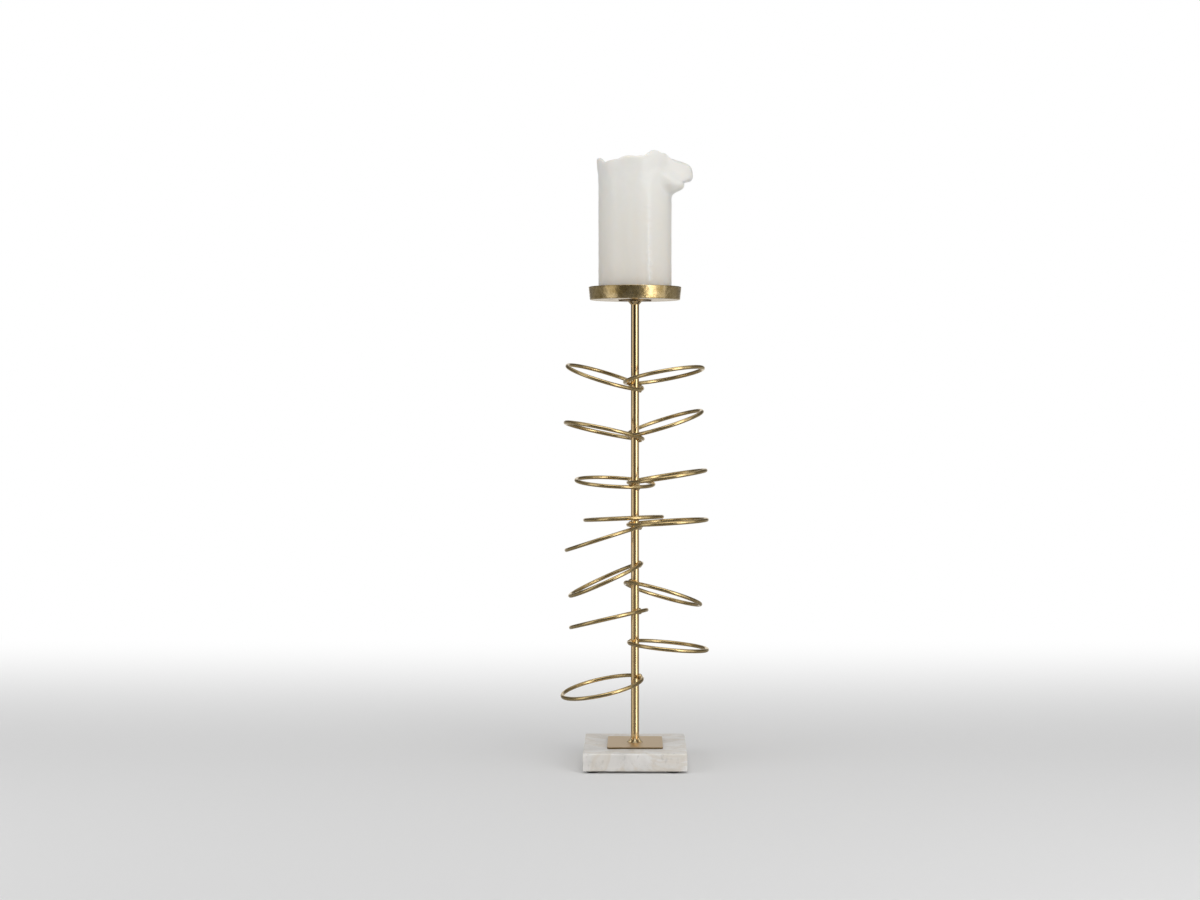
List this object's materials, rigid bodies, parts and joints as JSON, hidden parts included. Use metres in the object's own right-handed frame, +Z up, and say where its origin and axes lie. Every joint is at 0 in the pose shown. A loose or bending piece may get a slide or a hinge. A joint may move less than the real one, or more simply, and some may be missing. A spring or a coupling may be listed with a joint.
{
  "type": "candle holder",
  "caption": "Tall candle holder: tilted wire rings welded round a slim post on a square stone base, under a shallow pan with a pillar candle.",
  "frame": {"origin": "on the surface the holder stands on, on the axis of the post", "axes": "+Z up along the post, -Y towards the front as pictured, +X to the right of that view"},
  "size_m": [0.1542, 0.1332, 0.6333],
  "materials": {
    "marble": "honed white marble with faint beige and grey veins",
    "foot_rubber": "matt black",
    "plated_steel": "zinc plated",
    "plate_gold": "steel sheet with a satin champagne gold finish",
    "post_gold": "steel bar with a gold finish, drawn lengthwise",
    "ring_gold": "steel wire with a satin gold finish",
    "weld_gold": "weld metal under the gold finish",
    "pan_gold": "spun steel sheet, antique gold, faintly pitted",
    "wax": "off-white wax, slightly translucent",
    "wick": "cotton, charred at its free end"
  },
  "bodies": {
    "stand": {"marble_base": "marble", "foot_front_left": "foot_rubber", "foot_front_right": "foot_rubber", "foot_rear_left": "foot_rubber", "foot_rear_right": "foot_rubber", "fixing_bolt": "plated_steel", "fixing_washer": "plated_steel", "base_plate": "plate_gold", "post": "post_gold", "post_foot_weld": "weld_gold", "ring_01": "ring_gold", "ring_01_weld": "weld_gold", "ring_02": "ring_gold", "ring_02_weld": "weld_gold", "ring_03": "ring_gold", "ring_03_weld": "weld_gold", "ring_04": "ring_gold", "ring_04_weld": "weld_gold", "ring_05": "ring_gold", "ring_05_weld": "weld_gold", "ring_06": "ring_gold", "ring_06_weld": "weld_gold", "ring_07": "ring_gold", "ring_07_weld": "weld_gold", "ring_08": "ring_gold", "ring_08_weld": "weld_gold", "ring_09": "ring_gold", "ring_09_weld": "weld_gold", "ring_10": "ring_gold", "ring_10_weld": "weld_gold", "ring_11": "ring_gold", "ring_11_weld": "weld_gold", "ring_12": "ring_gold", "ring_12_weld": "weld_gold", "ring_13": "ring_gold", "ring_13_weld": "weld_gold", "ring_14": "ring_gold", "ring_14_weld": "weld_gold", "pan_support_disc": "plate_gold", "pan_support_weld": "weld_gold", "candle_pan": "pan_gold"},
    "candle": {"candle_wax": "wax", "candle_wick": "wick"}
  },
  "joints": [
    {"name": "candle_lift", "type": "slide", "parent": "stand", "child": "candle", "axis": [0, 0, 1], "range_m": [0, 0.05]}
  ]
}
